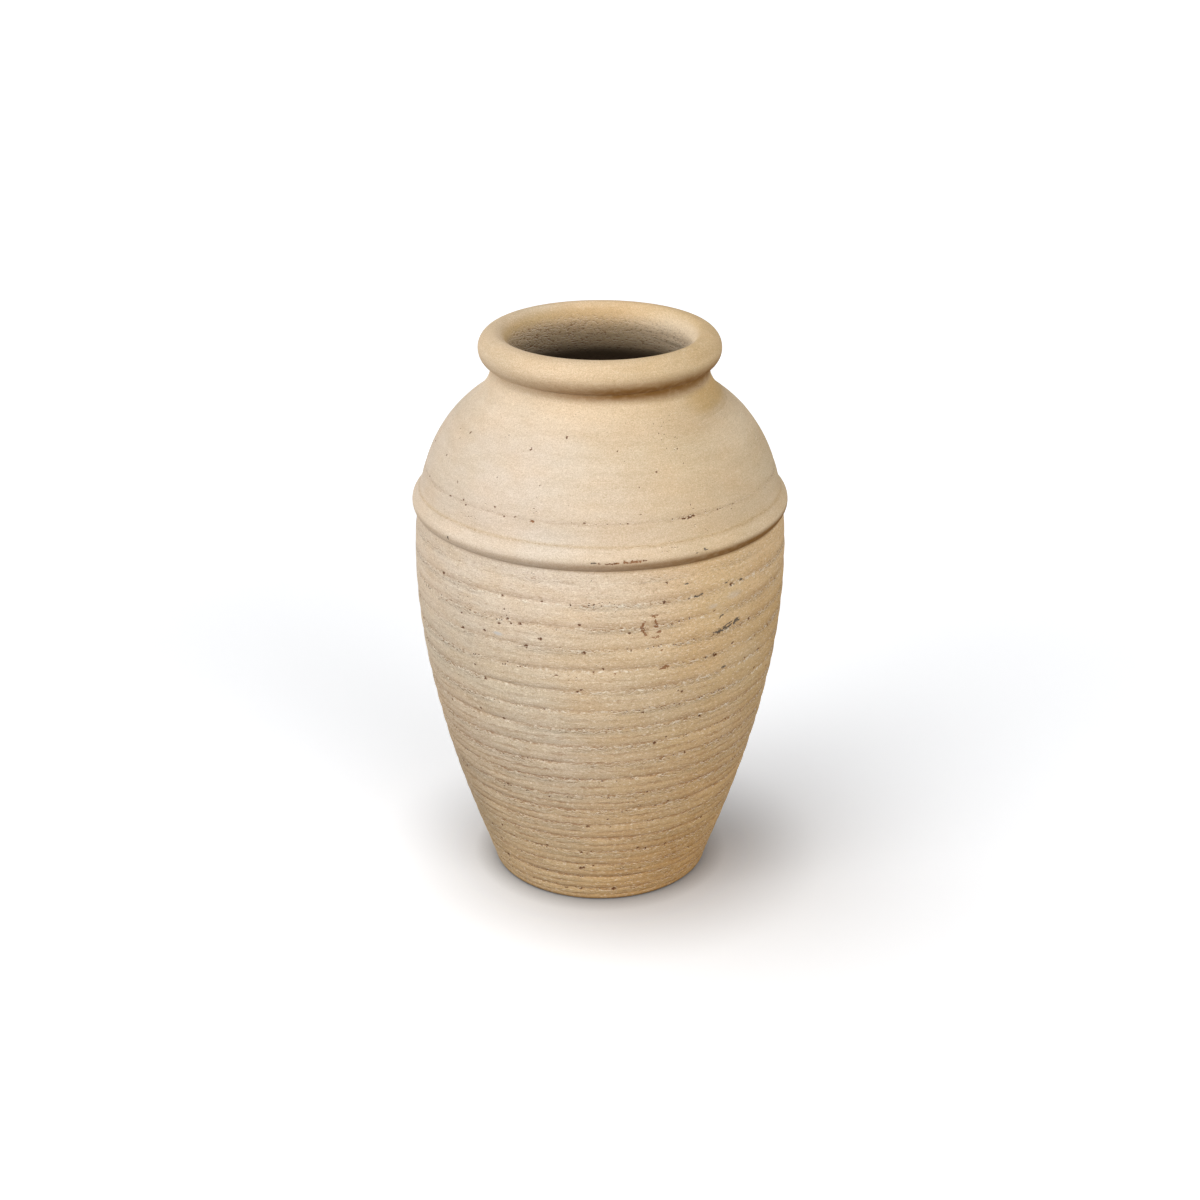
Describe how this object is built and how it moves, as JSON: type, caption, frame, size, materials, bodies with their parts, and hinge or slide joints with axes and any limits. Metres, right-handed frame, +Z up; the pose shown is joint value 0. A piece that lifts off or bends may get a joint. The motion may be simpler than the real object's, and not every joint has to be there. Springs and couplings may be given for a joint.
{
  "type": "clay vase",
  "caption": "Tall round-shouldered vase of unglazed clay with a ringed lower wall, a raised belt, a short neck and a thick rolled rim, on a flat foot.",
  "frame": {"origin": "centre of the foot, on the surface that the vase stands on", "axes": "+Z up along the axis of the pot; -Y faces the camera of the picture"},
  "size_m": [0.2282, 0.2282, 0.35],
  "materials": {
    "ringed_clay": "matte, finger-ringed, pitted",
    "smooth_clay": "matte, wiped smooth, fine grain",
    "slip": "matte, dried slip"
  },
  "bodies": {
    "root": {"floor_dish": "ringed_clay", "lower_wall": "ringed_clay", "shoulder": "smooth_clay", "belt_cordon": "smooth_clay", "neck_collar": "smooth_clay", "rim_roll": "smooth_clay", "slip_floor_seam": "slip", "slip_belt_seam": "slip", "slip_neck_seam": "slip", "slip_rim_seam": "slip", "slip_under_cordon": "slip"}
  },
  "joints": []
}
